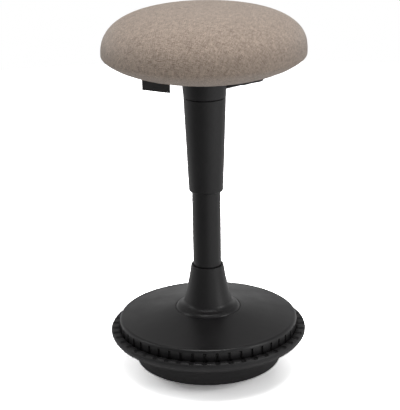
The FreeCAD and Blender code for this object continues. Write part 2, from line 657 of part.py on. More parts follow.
def make_label_tab():
    """Blank woven tab sewn to the seat's lower edge at the front left, hanging a little twisted."""
    height = SEAT_WAIST_Z - LABEL_FOOT_Z
    hanging = Part.makeBox(LABEL_THICK, LABEL_WIDTH, height,
                           Vector(-LABEL_THICK / 2, -LABEL_WIDTH / 2, LABEL_FOOT_Z))
    hanging.rotate(ORIGIN, UP, LABEL_FACING)
    turn = math.radians(LABEL_TURN)
    hanging.translate(Vector(LABEL_R * math.cos(turn), LABEL_R * math.sin(turn), 0))
    return hanging.cut(seat_form(LABEL_SEAM, TUCK_Z + LABEL_SEAM))


NODES = {
    "rocker_sole": make_rocker_sole,
    "rocker_bowl": make_rocker_bowl,
    "bumper_ring": make_bumper_ring,
    "base_cover": make_base_cover,
    "neck_cover": make_neck_cover,
    "neck_gasket": make_neck_gasket,
    "ballast_weight": make_ballast_weight,
    "base_plate": make_base_plate,
    "tube_socket": make_tube_socket,
    "base_screws": make_base_screws,
    "ballast_bolts": make_ballast_bolts,
    "stand_tube": make_stand_tube,
    "guide_bush": make_guide_bush,
    "tube_end_plate": make_tube_end_plate,
    "bearing_lower_race": make_bearing_lower_race,
    "bearing_upper_race": make_bearing_upper_race,
    "bearing_balls": make_bearing_balls,
    "ball_cage": make_ball_cage,
    "piston_rod": make_piston_rod,
    "retaining_clip": make_retaining_clip,
    "bump_stop": make_bump_stop,
    "piston": make_piston,
    "piston_ring": make_piston_ring,
    "gas_cylinder": make_gas_cylinder,
    "rod_guide": make_rod_guide,
    "valve_body": make_valve_body,
    "valve_pin": make_valve_pin,
    "height_sleeve": make_height_sleeve,
    "sleeve_cap": make_sleeve_cap,
    "seat_hub": make_seat_hub,
    "pivot_pin": make_pivot_pin,
    "release_lever": make_release_lever,
    "lever_grip": make_lever_grip,
    "seat_plate": make_seat_plate,
    "seat_bolts": make_seat_bolts,
    "t_nuts": make_t_nuts,
    "seat_board": make_seat_board,
    "seat_foam": make_seat_foam,
    "seat_cover": make_seat_cover,
    "cover_staples": make_cover_staples,
    "dust_cover": make_dust_cover,
    "label_tab": make_label_tab,
}

os.makedirs("parts", exist_ok=True)
for name, make in NODES.items():
    shape = make()
    if not shape.isValid():
        raise ValueError(name + " is not a valid solid")
    shape.exportStep("parts/" + name + ".step")
    print(name, len(shape.Solids), "solids", round(shape.Volume / 1000, 2), "cm3")
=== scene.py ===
import json
import math
from types import SimpleNamespace

import bpy
import numpy as np
from bpy.props import FloatProperty, FloatVectorProperty, IntProperty, PointerProperty
from bpy.types import Operator, Panel, PropertyGroup
from mathutils import Matrix, Vector


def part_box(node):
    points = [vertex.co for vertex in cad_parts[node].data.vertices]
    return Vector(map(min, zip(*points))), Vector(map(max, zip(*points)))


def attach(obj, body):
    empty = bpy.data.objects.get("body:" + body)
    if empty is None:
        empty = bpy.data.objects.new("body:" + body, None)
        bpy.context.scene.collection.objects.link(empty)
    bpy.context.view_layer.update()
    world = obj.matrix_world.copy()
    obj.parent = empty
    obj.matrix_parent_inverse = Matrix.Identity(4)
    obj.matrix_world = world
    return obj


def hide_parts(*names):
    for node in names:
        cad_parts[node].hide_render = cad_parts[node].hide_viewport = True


bl_info = {
    "name": "Wobble Stool",
    "version": (1, 0, 0),
    "blender": (4, 5, 0),
    "location": "3D View > Sidebar > Wobble Stool",
    "description": "Dresses the packed wobble stool: cushion, label, moulded base, grooved ring, studio",
    "category": "Object",
}

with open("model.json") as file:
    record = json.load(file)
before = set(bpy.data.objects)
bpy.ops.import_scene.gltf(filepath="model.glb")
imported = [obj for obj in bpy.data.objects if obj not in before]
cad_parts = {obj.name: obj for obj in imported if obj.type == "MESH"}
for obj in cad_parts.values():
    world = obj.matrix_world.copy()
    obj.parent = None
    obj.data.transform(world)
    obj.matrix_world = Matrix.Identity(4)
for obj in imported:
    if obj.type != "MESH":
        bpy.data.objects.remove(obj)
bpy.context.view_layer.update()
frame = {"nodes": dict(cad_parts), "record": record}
MM = 0.001

# Seat, in metres; its outer sizes are read from the frame
SEAT_LOW, SEAT_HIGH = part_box("seat_cover")
SEAT_R = SEAT_HIGH.x
SEAT_TOP = SEAT_HIGH.z
SEAT_FLOOR = SEAT_LOW.z
SEAT_WAIST = 577.0 * MM
CROWN_POWER = 2.63
BELLY_POWER = 1.67
BELLY_DROP = 47.07 * MM
BELLY_LIFT = 0.2 * MM       # how far the cushion stays above the CAD cover's floor
BOARD_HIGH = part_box("seat_board")[1]
BOARD_R = BOARD_HIGH.x
BOARD_GAP = 0.3 * MM
LEAN_RISE = 45 * MM         # height above or below the waist at which the lean is full
FORM_STEPS = 200            # points along the moulded outline when it is looked up
CLOTH_FRAMES = 20

# Gathers of the cushion's cloth under the board's edge
PUCKER_DROP = (12 * MM, 30 * MM)
PUCKER_R = (100 * MM, 112 * MM)
PUCKER_DEPTH = 0.5 * MM

# Hem and dust cloth under the board
HEM_OUTER_R = BOARD_R + 1.5 * MM
HEM_INNER_R = 85.0 * MM
HEM_MIDDLE = 0.75 * MM      # middle of the hem's thickness above the CAD cover's floor
HEM_THICK = 0.9 * MM
HEM_DEPTH = 0.35 * MM       # of its gathers
HEM_WAVE = 0.8 * MM         # of its inner edge
HEM_LAY_R = 0.19            # where the hem's cloth would lie if it were flat, past the cushion's side
DUST_THICK = 0.4 * MM
DUST_INSET = 0.3 * MM
DUST_STEP = (81 * MM, 84.5 * MM)
DUST_RIPPLE_R = 78 * MM
DUST_RIPPLE = 0.18 * MM
DUST_WAVE_R = 96 * MM
DUST_WAVE = 0.4 * MM        # of its cut edge

# Label
LABEL_R = 118.5 * MM
LABEL_SEAM = 0.7 * MM       # how deep the tape's ends reach into the cushion
LABEL_FOLD_R = 0.42 * MM
LABEL_THICK = 0.3 * MM
LABEL_CLEAR = 0.2 * MM
LABEL_BOW = 0.5 * MM

# Base cover and ring, in millimetres
SHELF_R = 51.0
SHELF_Z = 109.6
SHELF_FOOT_Z = 107.0
COVER_HOLE_R = 58.0
COVER_EDGE_R = 159.4
COVER_EDGE_Z = 92.5
COVER_WALL = 3.0
SKIRT_FOOT_R = 158.4
FOOT_Z = 62.0               # lower edge of skirt and ring
RING_INNER_R = 159.2
RING_TIP = (175.0, 75.4)
RING_CREST = (168.5, 79.5)
RING_FOOT_R = 167.0
CUTS = 48                   # grooves in the ring, and slots in the skirt
CUT_PHASE = math.radians(-2.5)
CUT_BLUR = 0.9              # half the width of the finely divided band at each edge of a cut
SLOT_TOP = (92.2, 90.8)
SLOT_FLARE = (81.0, 77.0)
SLOT_SOFT = 0.45            # half the width over which a slot's edge falls
SKIRT_SKIN = 0.3            # points no further inside the skirt's foot than this are its outer face
GROOVE_FLOOR_Z = 76.3
GROOVE_RISE = 0.1           # slope of the groove's floor, outwards
GROOVE_SOFT = 0.8

# Studio
FLOOR_RINGS = (0.01, 0.3, 0.8, 1.6, 2.6)    # radii, in metres
FLOOR_WHITE = 0.8           # its colour in the light that it sends back to the stool
# Painted reflection: within this distance of the stool's middle the floor's colour in glossy rays is the near
# level
NEAR_REFLECTION_EDGE = (0.24, 0.4)                # from the stool's middle
BRIGHT_SIDE_EDGE = -0.3            # cosine to the bright side at which the painted floor reflection and the reflected sky are fully light
# Painted shadow: past its core the floor's colour for the camera rises, which narrows the shadow the lamps
# cast
SHADOW_CORE = (0.03, -0.08, 0.0)
SHADOW_EDGE = (0.08, 0.165)                 # from the shadow's core
HIGH_SKY_Z = 0.55           # sine of the height at which the reflected sky is darkest

# Each lamp's place, the point it looks at, and its size
TOP_LAMP = ((0.0, -0.3, 2.4), (0.0, 0.0, 0.3), (1.3, 1.3))
RIGHT_LAMP = ((1.9, -1.0, 1.0), (0.0, 0.0, 0.45), (0.6, 1.2))
LEFT_LAMP = ((-2.0, -0.2, 1.2), (0.0, 0.0, 0.4), (0.5, 1.2))

# Camera
PICTURE_WIDTH = 400
PICTURE_HEIGHT = 410
SENSOR = 36.0


def arc(start, middle, end, count):
    """Points on the circle through three points: the centre is equally far from all three, and the angle runs
    evenly from start to end by way of middle. The start itself is left out."""
    a, b, c = (np.array(p, float) for p in (start, middle, end))
    centre = np.linalg.solve(2 * np.array([b - a, c - a]), [b @ b - a @ a, c @ c - a @ a])
    angles = [math.atan2(*(p - centre)[::-1]) for p in (a, b, c)]
    turn = 2 * math.pi
    to_middle, to_end = (angles[1] - angles[0]) % turn, (angles[2] - angles[0]) % turn
    sweep = to_end if to_middle <= to_end else to_end - turn
    t = angles[0] + sweep * np.arange(1, count + 1) / count
    return centre + np.linalg.norm(a - centre) * np.stack([np.cos(t), np.sin(t)], 1)


def line(start, end, count):
    """Points spaced evenly on the straight line from start to end, without the start."""
    share = np.arange(1, count + 1)[:, None] / count
    return np.array(start, float) + share * (np.array(end, float) - np.array(start, float))


def path(start, *steps):
    """Joins lines and arcs into one profile of (radius, height) rows. A step is the line's end, or the arc's
    middle and end, and its number of points."""
    rows = [np.array([start], float)]
    for *points, count in steps:
        here = rows[-1][-1]
        rows.append(arc(here, *points, count) if len(points) == 2 else line(here, points[0], count))
    return np.concatenate(rows)


def smooth_step(value, low, high):
    """0 below low, 1 above high, and the cubic 3t^2 - 2t^3 between them."""
    t = np.clip((value - low) / (high - low), 0, 1)
    return t * t * (3 - 2 * t)


def full_turn(count):
    """Angles evenly spaced round the circle, without the last, which is the first again."""
    return np.linspace(0, 2 * math.pi, count, endpoint=False)


def turned(profile, angles):
    """Surface of revolution: row i, column j is (r_i cos t_j, r_i sin t_j, z_i)."""
    r, z = profile[:, 0, None], profile[:, 1, None]
    return np.stack([r * np.cos(angles), r * np.sin(angles), z + 0 * angles], -1)


def to_polar(points):
    """Radius and angle round Z."""
    return np.hypot(points[..., 0], points[..., 1]), np.arctan2(points[..., 1], points[..., 0])


def grid_faces(rows, columns, closed_rows, closed_columns=True):
    """Quads of a grid of points, wrapping round where it is closed."""
    i = np.arange(rows if closed_rows else rows - 1)[:, None]
    j = np.arange(columns if closed_columns else columns - 1)[None, :]
    i2, j2 = (i + 1) % rows, (j + 1) % columns
    corners = [i * columns + j, i * columns + j2, i2 * columns + j2, i2 * columns + j]
    return np.stack([c + 0 * i + 0 * j for c in corners], -1).reshape(-1, 4)


def new_piece(name, points, faces, sharp_degrees=180.0):
    """Mesh object at the origin, its faces turned outwards by the sign of its volume."""
    v = points.reshape(-1, 3)
    a, b, c, d = (v[faces[:, k]] for k in range(4))
    volume = (a * np.cross(b, c)).sum() + (a * np.cross(c, d)).sum()
    ordered = faces if volume > 0 else faces[:, ::-1]
    mesh = bpy.data.meshes.new(name)
    mesh.from_pydata(v.tolist(), [], ordered.tolist())
    mesh.shade_smooth()
    if sharp_degrees < 180.0:
        mesh.set_sharp_from_angle(angle=math.radians(sharp_degrees))
    piece = bpy.data.objects.new(name, mesh)
    bpy.context.scene.collection.objects.link(piece)
    return piece


def close_poles(piece):
    """Merges the points of each pole and makes all faces point outwards."""
    bpy.context.view_layer.objects.active = piece
    bpy.ops.object.select_all(action="DESELECT")
    piece.select_set(True)
    bpy.ops.object.mode_set(mode="EDIT")
    bpy.ops.mesh.select_all(action="SELECT")
    bpy.ops.mesh.remove_doubles(threshold=1e-6)
    bpy.ops.mesh.normals_make_consistent(inside=False)
    bpy.ops.object.mode_set(mode="OBJECT")


def mesh_points(mesh):
    flat = np.empty(len(mesh.vertices) * 3)
    mesh.vertices.foreach_get("co", flat)
    return flat.reshape(-1, 3)


def set_points(mesh, points):
    mesh.vertices.foreach_set("co", points.ravel())
    mesh.update()


def apply_modifiers(piece):
    """Replaces the piece's mesh with the one its modifiers give."""
    graph = bpy.context.evaluated_depsgraph_get()
    made = bpy.data.meshes.new_from_object(piece.evaluated_get(graph))
    piece.modifiers.clear()
    piece.data = made


def add_modifier(piece, kind, **settings):
    modifier = piece.modifiers.new(kind.lower(), kind)
    for key, value in settings.items():
        setattr(modifier, key, value)
    return modifier


def write_uv(piece, u, v):
    """Stores one pair of cloth coordinates per vertex as the piece's own UV map."""
    mesh = piece.data
    corners = np.empty(len(mesh.loops), np.int32)
    mesh.loops.foreach_get("vertex_index", corners)
    layer = mesh.uv_layers.new(name="cloth")
    layer.data.foreach_set("uv", np.stack([u[corners], v[corners]], 1).ravel())


class Nodes:
    """Adds nodes to a tree one by one; a value may be a constant or the socket of an earlier node."""

    def __init__(self, tree):
        self.tree = tree

    def put(self, socket, value):
        if isinstance(value, bpy.types.NodeSocket):
            self.tree.links.new(value, socket)
        else:
            socket.default_value = value

    def add(self, kind, inputs=None, **settings):
        node = self.tree.nodes.new(kind)
        for key, value in settings.items():
            setattr(node, key, value)
        for key, value in (inputs or {}).items():
            self.put(node.inputs[key], value)
        return node

    def math(self, operation, a, b=0.0):
        return self.add("ShaderNodeMath", {0: a, 1: b}, operation=operation).outputs[0]

    def remap(self, value, low, high, to_low=0.0, to_high=1.0, curve="LINEAR"):
        inputs = {"Value": value, "From Min": low, "From Max": high, "To Min": to_low, "To Max": to_high}
        return self.add("ShaderNodeMapRange", inputs, interpolation_type=curve).outputs["Result"]

    def blend(self, share, a, b):
        return self.add("ShaderNodeMix", {0: share, 2: a, 3: b}).outputs[0]

    def vector_math(self, operation, a, b=(0, 0, 0), output="Value"):
        return self.add("ShaderNodeVectorMath", {0: a, 1: b}, operation=operation).outputs[output]

    def parts(self, vector):
        return self.add("ShaderNodeSeparateXYZ", {"Vector": vector}).outputs


class Finish(Nodes):
    """A material on a Principled shader."""

    def __init__(self, name, **constants):
        self.material = bpy.data.materials.new(name)
        self.material.use_nodes = True
        super().__init__(self.material.node_tree)
        self.shader = self.tree.nodes["Principled BSDF"]
        self.place = self.add("ShaderNodeTexCoord").outputs["Object"]
        for key, value in constants.items():
            self.shader.inputs[key.replace("_", " ")].default_value = value

    def scaled(self, stretch, place=None):
        inputs = {"Vector": place or self.place, "Scale": stretch}
        return self.add("ShaderNodeMapping", inputs).outputs["Vector"]

    def noise(self, size, detail=2.0, stretch=(1, 1, 1), place=None):
        """Noise whose lumps are about size metres across, stretched along the axes."""
        vector = self.scaled([1 / (size * s) for s in stretch], place)
        inputs = {"Vector": vector, "Scale": 1.0, "Detail": detail}
        return self.add("ShaderNodeTexNoise", inputs).outputs["Fac"]

    def cells(self, size):
        vector = self.scaled([1 / size] * 3)
        return self.add("ShaderNodeTexVoronoi", {"Vector": vector, "Scale": 1.0}).outputs["Distance"]

    def mix(self, share, a, b):
        node = self.add("ShaderNodeMix", data_type="RGBA")
        self.put(node.inputs[0], share)
        self.put(node.inputs[6], a)
        self.put(node.inputs[7], b)
        return node.outputs[2]

    def bump(self, height, distance, strength=1.0, normal=None):
        inputs = {"Height": height, "Distance": distance, "Strength": strength}
        if normal:
            inputs["Normal"] = normal
        return self.add("ShaderNodeBump", inputs).outputs["Normal"]

    def rounded(self, radius):
        """Normal of edges rounded to that radius, and 1 on an edge falling to 0 away from it."""
        soft = self.add("ShaderNodeBevel", {"Radius": radius}, samples=4).outputs["Normal"]
        plain = self.add("ShaderNodeNewGeometry").outputs["Normal"]
        return soft, self.remap(self.vector_math("DOT_PRODUCT", soft, plain), 0.995, 0.8)

    def output(self, **links):
        for key, value in links.items():
            self.put(self.shader.inputs[key.replace("_", " ")], value)
        return self.material


def grey(level, tint=(1.0, 1.0, 1.0)):
    return (level * tint[0], level * tint[1], level * tint[2], 1.0)


def moulded(name, level, roughness, grain, depth, wear=0.5, edge=0.5 * MM, tint=(1.02, 0.97, 1.04)):
    """Black moulding or paint: fine grain, patchy colour and gloss, and rubbed edges."""
    finish = Finish(name, IOR=1.47)
    normal, on_edge = finish.rounded(edge)
    patches = finish.noise(35 * MM, 4.0)
    fine = finish.noise(grain, 3.0)
    rub = finish.math("MULTIPLY", on_edge, finish.remap(finish.noise(9 * MM, 3.0), 0.35, 0.7, 0.0, wear))
    colour = finish.mix(patches, grey(level * 0.85, tint), grey(level * 1.2, tint))
    colour = finish.mix(rub, colour, grey(level * 3.5, tint))
    gloss = finish.remap(patches, 0.3, 0.7, roughness - 0.04, roughness + 0.05)
    gloss = finish.math("SUBTRACT", gloss, finish.math("MULTIPLY", rub, 0.08))
    return finish.output(Base_Color=colour, Roughness=gloss, Normal=finish.bump(fine, depth, 0.6, normal))


def brushed(name, colour, roughness, along=(1, 1, 12), edge=0.3 * MM):
    """Plated or turned metal: fine scratches stretched one way, blotches and brighter edges."""
    finish = Finish(name, Metallic=1.0)
    normal, on_edge = finish.rounded(edge)
    lines = finish.noise(0.25 * MM, 2.0, along)
    blotch = finish.noise(14 * MM, 4.0)
    dark = tuple(c * 0.72 for c in colour) + (1.0,)
    body = finish.mix(finish.remap(blotch, 0.3, 0.7), dark, tuple(colour) + (1.0,))
    light = tuple(min(1.0, c * 1.25) for c in colour) + (1.0,)
    body = finish.mix(finish.math("MULTIPLY", on_edge, 0.6), body, light)
    gloss = finish.remap(lines, 0.3, 0.7, roughness * 0.75, roughness * 1.3)
    return finish.output(Base_Color=body, Roughness=gloss, Normal=finish.bump(lines, 0.012 * MM, 0.5, normal))


def cast_iron(name):
    """Rough sand casting: grain in two sizes and rust-brown pits."""
    finish = Finish(name, Metallic=0.3)
    coarse, fine = finish.noise(5 * MM, 5.0), finish.cells(1.6 * MM)
    height = finish.math("ADD", coarse, finish.math("MULTIPLY", fine, 0.6))
    colour = finish.mix(finish.remap(coarse, 0.35, 0.65), (0.05, 0.042, 0.036, 1.0), (0.11, 0.105, 0.1, 1.0))
    gloss = finish.remap(fine, 0.0, 1.0, 0.55, 0.85)
    return finish.output(Base_Color=colour, Roughness=gloss, Normal=finish.bump(height, 0.5 * MM))


def birch_plywood(name):
    """Veneers lie in Z with crossed grain; faces show long birch figure."""
    finish = Finish(name, IOR=1.45)
    grain = finish.noise(1.2 * MM, 4.0, (18, 1, 1))
    figure = finish.noise(22 * MM, 3.0, (4, 1, 1))
    layer = finish.math("PINGPONG", finish.parts(finish.place)[2], 1.5 * MM)
    colour = finish.mix(grain, (0.50, 0.36, 0.21, 1.0), (0.70, 0.55, 0.37, 1.0))
    colour = finish.mix(finish.remap(figure, 0.4, 0.7, 0.0, 0.5), colour, (0.58, 0.42, 0.26, 1.0))
    colour = finish.mix(finish.remap(layer, 0.0, 1.5 * MM, 0.0, 0.45), colour, (0.33, 0.21, 0.12, 1.0))
    gloss = finish.remap(grain, 0.3, 0.7, 0.55, 0.75)
    return finish.output(Base_Color=colour, Roughness=gloss, Normal=finish.bump(grain, 0.1 * MM))


def weave_cells(finish, vector):
    """Plain weave on cloth coordinates counted in yarns: the coordinates, each cell's column and row, 1 where
    the warp lies over the weft, and the height of the yarn on top."""
    u, v = finish.parts(vector)[:2]
    column, row = finish.math("FLOOR", u), finish.math("FLOOR", v)
    over = finish.math("PINGPONG", finish.math("ADD", column, row), 1.0)
    ridge_u = finish.math("ABSOLUTE", finish.math("SINE", finish.math("MULTIPLY", u, math.pi)))
    ridge_v = finish.math("ABSOLUTE", finish.math("SINE", finish.math("MULTIPLY", v, math.pi)))
    up = finish.math("MULTIPLY", over, ridge_u)
    down = finish.math("MULTIPLY", finish.math("SUBTRACT", 1.0, over), ridge_v)
    height = finish.math("ADD", up, down)
    return SimpleNamespace(u=u, v=v, column=column, row=row, over=over, height=height)


def yarn_tone(finish, across, along, run):
    """Noise that is the same across one yarn and changes along it every few millimetres."""
    yarn_step = 7.31
    x, y = finish.math("MULTIPLY", across, yarn_step), finish.math("DIVIDE", along, run)
    vector = finish.add("ShaderNodeCombineXYZ", {"X": x, "Y": y}).outputs[0]
    return finish.add("ShaderNodeTexNoise", {"Vector": vector, "Scale": 1.0, "Detail": 2.0}).outputs["Fac"]


def heathered_cloth(name, pitch, dark, light, run=6.0):
    """Plain weave of mottled yarns, each lighter or darker along its run, with fluff and broad blotches of
    tone;
    the gaps between the yarns are darkened with painted shade.
    """
    finish = Finish(name, Sheen_Weight=0.4, Sheen_Roughness=0.5, IOR=1.35)
    flat = finish.add("ShaderNodeUVMap", uv_map="cloth").outputs["UV"]
    weave = weave_cells(finish, finish.scaled([1 / pitch] * 3, flat))
    warp = yarn_tone(finish, weave.column, weave.v, run)
    weft = yarn_tone(finish, weave.row, weave.u, run)
    tone = finish.blend(weave.over, weft, warp)
    broad = finish.noise(26 * MM, 3.0, place=flat)
    tone = finish.math("ADD", finish.math("MULTIPLY", tone, 0.95), finish.math("MULTIPLY", broad, 0.05))
    # Painted shade: where the weave is low, between the yarns, the colour falls towards a third of the dark
    # yarn
    painted_gap_shade = finish.remap(weave.height, 0.0, 0.55, 0.35, 0.0)
    colour = finish.mix(finish.remap(tone, 0.34, 0.66), dark, light)
    colour = finish.mix(painted_gap_shade, colour, tuple(c * 0.35 for c in dark[:3]) + (1.0,))
    fluff = finish.noise(0.35 * MM, 3.0, place=flat)
    raised = finish.math("ADD", weave.height, finish.math("MULTIPLY", fluff, 0.35))
    gloss = finish.remap(fluff, 0.3, 0.7, 0.8, 0.95)
    return finish.output(Base_Color=colour, Roughness=gloss, Normal=finish.bump(raised, 0.28 * MM, 0.8))


def nonwoven(name, pitch=1.8 * MM):
    """Black spun-bonded cloth with pressed diamond dimples and stray fibres."""
    finish = Finish(name, Sheen_Weight=0.2, IOR=1.4)
    x, y = finish.parts(finish.scaled([1 / pitch] * 3))[:2]
    first = finish.math("SINE", finish.math("MULTIPLY", finish.math("ADD", x, y), math.pi))
    second = finish.math("SINE", finish.math("MULTIPLY", finish.math("SUBTRACT", x, y), math.pi))
    dimple = finish.math("ABSOLUTE", finish.math("MULTIPLY", first, second))
    fibre = finish.noise(0.5 * MM, 5.0, (6, 1, 1))
    height = finish.math("ADD", dimple, finish.math("MULTIPLY", fibre, 0.7))
    colour = finish.mix(fibre, grey(0.01), grey(0.035))
    gloss = finish.remap(dimple, 0.0, 1.0, 0.6, 0.9)
    return finish.output(Base_Color=colour, Roughness=gloss, Normal=finish.bump(height, 0.2 * MM))


def label_tape(name, pitch=0.45 * MM):
    """Black tape of fine yarns, glossier on their ridges."""
    finish = Finish(name, Sheen_Weight=0.15, IOR=1.45)
    flat = finish.add("ShaderNodeUVMap", uv_map="cloth").outputs["UV"]
    weave = weave_cells(finish, finish.scaled([1 / pitch] * 3, flat))
    tone = yarn_tone(finish, weave.row, weave.u, 12.0)
    colour = finish.mix(finish.remap(tone, 0.3, 0.7), grey(0.006), grey(0.02))
    gloss = finish.remap(weave.height, 0.0, 1.0, 0.65, 0.4)
    return finish.output(Base_Color=colour, Roughness=gloss, Normal=finish.bump(weave.height, 0.08 * MM))


class WobbleSeatSettings(PropertyGroup):
    swell: FloatProperty(name="Swell", description="How far inside its final skin the cushion starts",
                         default=4.0 * MM, unit="LENGTH")
    pressure: FloatProperty(name="Pressure", description="Cloth pressure that fills the cushion", default=4.0)
    reach: FloatProperty(name="Reach", description="Furthest that a point of the cushion moves",
                         default=7.0 * MM, unit="LENGTH")
    voxel: FloatProperty(name="Voxel", description="Mesh size of the simulated cushion",
                         default=5.0 * MM, unit="LENGTH")
    form_hold: FloatProperty(name="Form Hold", description="How strongly the foam keeps its moulded outline",
                             default=0.92, min=0.0, max=1.0, subtype="FACTOR")
    puckers: IntProperty(name="Puckers", description="Gathers of the cloth under the board", default=44)
    nap: FloatProperty(name="Nap", description="How far the cloth stands outside the CAD skin",
                       default=1.0 * MM, unit="LENGTH")
    lean: FloatProperty(name="Lean", description="How far crown and underside are fuller towards the lever",
                        default=1.4 * MM, unit="LENGTH")
    yarn: FloatProperty(name="Yarn", description="Pitch of the woven cloth", default=1.5 * MM, unit="LENGTH")
    cloth_turn: FloatProperty(name="Cloth Turn", description="How far the warp is turned from front to back",
                              default=math.radians(-20.0), subtype="ANGLE")
    dark_yarn: FloatVectorProperty(name="Dark Yarn", description="Darkest colour of the mottled yarn",
                                   default=(0.275, 0.208, 0.164, 1.0), size=4, subtype="COLOR")
    light_yarn: FloatVectorProperty(name="Light Yarn", description="Lightest colour of the mottled yarn",
                                    default=(0.64, 0.515, 0.42, 1.0), size=4, subtype="COLOR")
    label_width: FloatProperty(name="Label Width", description="Width of the blank woven tab",
                               default=52.5 * MM, unit="LENGTH")
    label_turn: FloatProperty(name="Label Turn", description="Where the tab sits round the seat, from +X",
                              default=math.radians(-132.0), subtype="ANGLE")
    label_facing: FloatProperty(name="Label Facing", description="Where the face of the tab looks, from +X",
                                default=math.radians(-118.0), subtype="ANGLE")


class WobbleBaseSettings(PropertyGroup):
    groove_width: FloatProperty(name="Groove Width", description="Width of the ring's radial grooves",
                                default=8.6 * MM, unit="LENGTH")
    slot_width: FloatProperty(name="Slot Width", description="Width of the skirt's slots",
                              default=4.0 * MM, unit="LENGTH")
    slot_foot_width: FloatProperty(name="Slot Foot Width", description="Width of the slots at their foot",
                                   default=8.0 * MM, unit="LENGTH")
    slot_depth: FloatProperty(name="Slot Depth", description="Depth of the skirt's slots",
                              default=2.5 * MM, unit="LENGTH")
    plastic: FloatProperty(name="Plastic Level", description="Brightness of the black mouldings",
                           default=0.011)


class WobbleStageSettings(PropertyGroup):
    focal_pixels: FloatProperty(name="Focal Length", description="In pixels of the 400 by 410 picture",
                                default=1300.0)
    middle_column: FloatProperty(name="Middle Column", description="Picture column that the lens points at",
                                 default=206.5)
    middle_row: FloatProperty(name="Middle Row", description="Picture row that the lens points at",
                              default=205.0)
    pitch: FloatProperty(name="Pitch", description="How far the camera looks down",
                         default=math.radians(18.487), subtype="ANGLE")
    roll: FloatProperty(name="Roll", description="How far the camera leans", default=math.radians(-0.937),
                        subtype="ANGLE")
    eye: FloatVectorProperty(name="Eye", description="Where the camera stands",
                             default=(0.00017, -2.1663, 1.0292), size=3, subtype="XYZ", unit="LENGTH")
    top_power: FloatProperty(name="Top Light", description="Softbox above the front",
                             default=26.0, unit="POWER")
    right_power: FloatProperty(name="Right Light", description="Softbox at the right",
                               default=9.2, unit="POWER")
    left_power: FloatProperty(name="Left Light", description="Softbox at the left",
                              default=4.2, unit="POWER")
    soft_sky: FloatProperty(name="Soft Sky", description="Strength of the even light from all round",
                            default=0.235)
    low_sky: FloatProperty(name="Low Sky", description="Brightness of reflections near the horizon",
                           default=0.76)
    high_sky: FloatProperty(name="High Sky", description="Brightness of reflections overhead", default=0.33)
    dark_sky: FloatProperty(name="Dark Sky", description="Share of the reflected sky left at the front left",
                            default=0.42)
    # Painted reflection: the floor's colours as glossy rays alone see them
    dark_painted_reflection: FloatProperty(name="Dark Card", description="Floor seen in reflections, front left",
                             default=0.36)
    light_painted_reflection: FloatProperty(name="Light Card", description="Floor seen in reflections, right",
                              default=0.95)
    near_painted_reflection: FloatProperty(name="Near Card", description="Floor seen in reflections, under the stool",
                             default=1.1)
    # Side where the painted floor reflection and the reflected sky are lightest, from the camera's side
    bright_side_turn: FloatProperty(name="Card Turn", description="Side of the light card, from the camera's side",
                             default=math.radians(140.0), subtype="ANGLE")
    floor_gain: FloatProperty(name="Floor Gain", description="How far the camera over-exposes the floor",
                              default=3.5)
    # Painted shadow: how much lighter the floor's colour for the camera is past the shadow's core
    painted_shadow_fade: FloatProperty(name="Floor Fade", description="How much more it does so outside the shadow",
                              default=1.6)
    floor_lift: FloatProperty(name="Floor Lift", description="Light the camera adds to the shadow",
                              default=0.1)


def seat_profile(inset, count):
    """Cushion outline from the crown's pole to the pole of its underside. Each half is a superellipse,
    r = R cos(a)^(2/n) and z = waist +- h sin(a)^(2/n), and the lower one stops at the flat floor."""
    radius = SEAT_R - inset
    a = np.linspace(math.pi / 2, 0, count)
    rise = SEAT_TOP - SEAT_WAIST - inset
    crown = np.stack([radius * np.cos(a) ** (2 / CROWN_POWER),
                      SEAT_WAIST + rise * np.sin(a) ** (2 / CROWN_POWER)], 1)
    drop = BELLY_DROP - inset
    floor = SEAT_FLOOR + inset
    last = math.asin(min(1.0, (SEAT_WAIST - floor) / drop) ** (BELLY_POWER / 2))
    a = np.linspace(0, last, count)[1:]
    belly = np.stack([radius * np.cos(a) ** (2 / BELLY_POWER),
                      SEAT_WAIST - drop * np.sin(a) ** (2 / BELLY_POWER)], 1)
    under = np.stack([np.linspace(belly[-1, 0], 0, count)[1:], np.full(count - 1, floor)], 1)
    crown[0, 0] = 0.0
    return np.concatenate([crown, belly, under])


def underside(radius):
    """Height of the cushion's lower half at a radius, z = waist - h (1 - (r/R)^n)^(1/n)."""
    share = np.clip(radius / SEAT_R, 0, 1)
    return SEAT_WAIST - BELLY_DROP * (1 - share ** BELLY_POWER) ** (1 / BELLY_POWER)


def meridian(points):
    """Angle of a point in its upright plane, about the middle of the waist."""
    return np.arctan2(points[..., 1] - SEAT_WAIST, points[..., 0])


def puff(piece, seat):
    """Fills the closed mesh with cloth pressure. A point that would go further than its reach stops there."""
    start = mesh_points(piece.data)
    cloth = add_modifier(piece, "CLOTH")
    cloth.settings.use_pressure = True
    cloth.settings.uniform_pressure_force = seat.pressure
    cloth.settings.effector_weights.gravity = 0
    cloth.point_cache.frame_end = CLOTH_FRAMES
    scene = bpy.context.scene
    for number in range(1, CLOTH_FRAMES + 1):
        scene.frame_set(number)
    apply_modifiers(piece)
    scene.frame_set(1)
    move = mesh_points(piece.data) - start
    length = np.linalg.norm(move, axis=1, keepdims=True)
    set_points(piece.data, start + move * np.minimum(1, seat.reach / np.maximum(length, 1e-9)))


def look_up(points, outline, values):
    """What values, given along the outline, come to at each point's own angle in its upright plane."""
    angle = meridian(outline)
    order = np.argsort(angle)
    own = meridian(np.stack([to_polar(points)[0], points[:, 2]], 1))
    return np.interp(own, angle[order], values[order])


